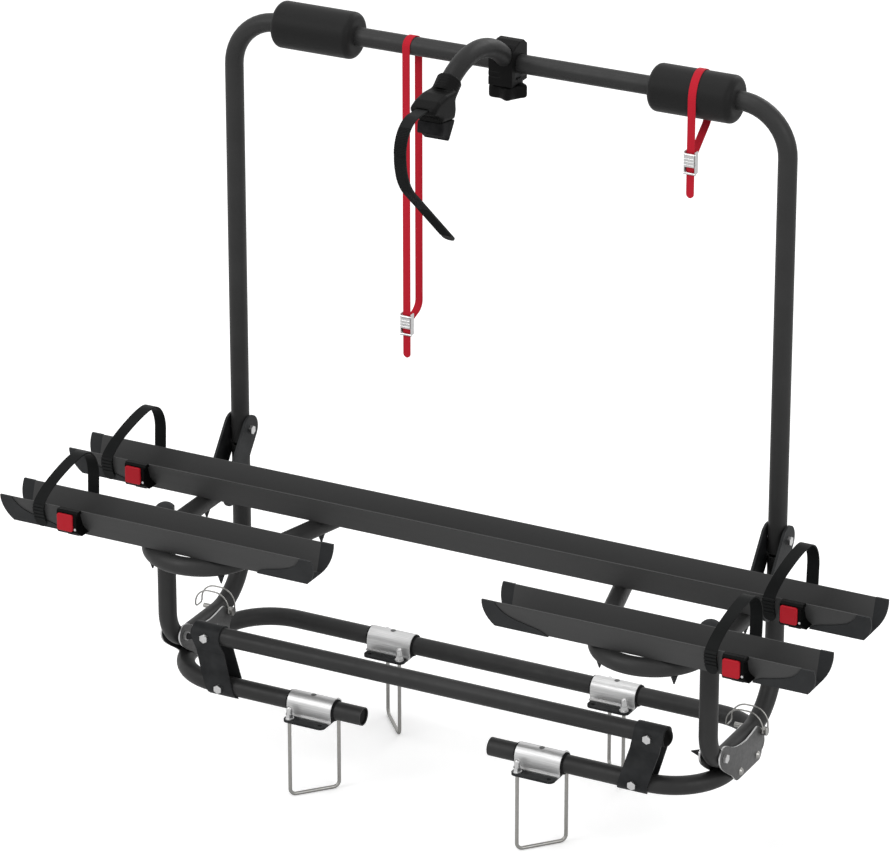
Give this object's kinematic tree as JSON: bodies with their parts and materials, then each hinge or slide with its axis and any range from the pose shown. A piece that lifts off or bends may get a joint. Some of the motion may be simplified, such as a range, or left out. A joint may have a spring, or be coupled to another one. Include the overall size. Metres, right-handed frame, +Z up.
{
  "type": "caravan drawbar bike rack",
  "caption": "Tube frame rack that clamps to a caravan drawbar and carries bikes in troughs with wheel straps, a folding upper hoop, foam sleeves and a bike arm.",
  "frame": {"origin": "middle of the four clamp plates, on their underside, where the rack rests on the drawbar", "axes": "+X along the wheel troughs, +Y toward the caravan, +Z up"},
  "size_m": [1.4168, 0.427, 1.2595],
  "materials": {
    "anodised_tube": "satin black anodised",
    "rail_metal": "matt black anodised extrusion",
    "bare_aluminium": "brushed bare aluminium",
    "zinc_steel": "zinc plated sheet",
    "bright_steel": "bright zinc plated",
    "black_steel": "black powder coat",
    "black_plastic": "moulded, fine grain",
    "strap_plastic": "moulded, smooth",
    "red_plastic": "moulded, semi gloss",
    "black_rubber": "moulded rubber",
    "foam": "closed cell foam, smooth skin",
    "red_webbing": "woven polyester"
  },
  "bodies": {
    "drawbar_base": {"base_tube": "anodised_tube", "base_tube_plugs": "black_plastic", "bridge_tube": "anodised_tube", "bridge_caps": "black_plastic", "bridge_brackets": "black_steel", "bridge_bolts": "bright_steel", "clamp_shells": "bare_aluminium", "clamp_liners": "black_rubber", "clamp_plates": "black_steel", "clamp_screws": "bright_steel", "u_bolts_front": "zinc_steel", "u_bolts_rear": "zinc_steel", "clamp_nuts": "bright_steel", "pivot_plates_left": "zinc_steel", "pivot_plates_right": "zinc_steel", "plate_rivets": "zinc_steel", "pivot_bolts": "bright_steel", "pivot_bolt_caps": "black_plastic"},
    "rail_carrier": {"brace_bolts": "bright_steel", "brace_plates_left": "black_steel", "brace_plates_right": "black_steel", "front_rail_caps": "black_plastic", "front_rail_left": "rail_metal", "front_rail_right": "rail_metal", "leg_caps": "black_plastic", "lock_pins": "zinc_steel", "rail_bolt_caps": "black_plastic", "rail_bolts": "bright_steel", "rail_support_left": "anodised_tube", "rail_support_right": "anodised_tube", "rear_rail": "rail_metal", "rear_rail_caps": "black_plastic", "side_hoop_left": "anodised_tube", "side_hoop_right": "anodised_tube", "strap_buckles": "black_plastic", "wheel_strap_front_left": "strap_plastic", "wheel_strap_front_right": "strap_plastic", "wheel_strap_rear_left": "strap_plastic", "wheel_strap_rear_right": "strap_plastic"},
    "upper_hoop_frame": {"upper_hoop": "anodised_tube", "foam_grips": "foam", "red_strap_long": "red_webbing", "red_strap_short": "red_webbing", "cam_frames": "bright_steel"},
    "bike_arm": {"arm_clamp_body": "black_plastic", "arm_clamp_pad": "black_plastic", "arm_tube": "anodised_tube", "arm_head": "black_plastic", "arm_cradle": "black_rubber", "ratchet_strap": "strap_plastic"},
    "release_button_rear_left": {"release_button_rear_left": "red_plastic"},
    "release_button_rear_right": {"release_button_rear_right": "red_plastic"},
    "release_button_front_left": {"release_button_front_left": "red_plastic"},
    "release_button_front_right": {"release_button_front_right": "red_plastic"},
    "pin_bail_left": {"pin_bail_left": "zinc_steel"},
    "pin_bail_right": {"pin_bail_right": "zinc_steel"},
    "cam_lever_long": {"cam_lever_long": "bright_steel"},
    "cam_lever_short": {"cam_lever_short": "bright_steel"},
    "clamp_knob": {"clamp_knob": "black_plastic"}
  },
  "joints": [
    {"name": "carrier_tilt", "type": "hinge", "parent": "drawbar_base", "child": "rail_carrier", "pos_m": [0, -0.097, 0.071], "axis": [1, 0, 0], "range_deg": [0, 45]},
    {"name": "hoop_fold", "type": "hinge", "parent": "rail_carrier", "child": "upper_hoop_frame", "pos_m": [0, 0.125, 0.3495], "axis": [1, 0, 0], "range_deg": [0, 90]},
    {"name": "arm_swing", "type": "hinge", "parent": "upper_hoop_frame", "child": "bike_arm", "pos_m": [0.0075, 0.125, 1.056], "axis": [1, 0, 0], "range_deg": [-30, 60]},
    {"name": "knob_turn", "type": "hinge", "parent": "bike_arm", "child": "clamp_knob", "pos_m": [0.0075, 0.125, 1.012], "axis": [0, 0, 1], "continuous": true},
    {"name": "button_press_rear_left", "type": "slide", "parent": "rail_carrier", "child": "release_button_rear_left", "axis": [0, 1, 0], "range_m": [0, 0.003], "stiffness_N_per_m": 500, "springref_m": -0.0005},
    {"name": "button_press_rear_right", "type": "slide", "parent": "rail_carrier", "child": "release_button_rear_right", "axis": [0, 1, 0], "range_m": [0, 0.003], "stiffness_N_per_m": 500, "springref_m": -0.0005},
    {"name": "button_press_front_left", "type": "slide", "parent": "rail_carrier", "child": "release_button_front_left", "axis": [0, 1, 0], "range_m": [0, 0.003], "stiffness_N_per_m": 500, "springref_m": -0.0005},
    {"name": "button_press_front_right", "type": "slide", "parent": "rail_carrier", "child": "release_button_front_right", "axis": [0, 1, 0], "range_m": [0, 0.003], "stiffness_N_per_m": 500, "springref_m": -0.0005},
    {"name": "bail_open_left", "type": "hinge", "parent": "rail_carrier", "child": "pin_bail_left", "pos_m": [-0.4564, 0.046, 0.05618], "axis": [0, 1, 0], "range_deg": [0, 110]},
    {"name": "bail_open_right", "type": "hinge", "parent": "rail_carrier", "child": "pin_bail_right", "pos_m": [0.5016, 0.046, 0.05618], "axis": [0, 1, 0], "range_deg": [0, 110]},
    {"name": "cam_open_long", "type": "hinge", "parent": "upper_hoop_frame", "child": "cam_lever_long", "pos_m": [-0.1626, 0.10572, 0.6085], "axis": [1, 0, 0], "range_deg": [-75, 0], "stiffness_Nm_per_rad": 0.02, "springref_deg": 11.46},
    {"name": "cam_open_short", "type": "hinge", "parent": "upper_hoop_frame", "child": "cam_lever_short", "pos_m": [0.3358, 0.08311, 0.9715], "axis": [1, 0, 0], "range_deg": [-75, 0], "stiffness_Nm_per_rad": 0.02, "springref_deg": 11.46}
  ]
}
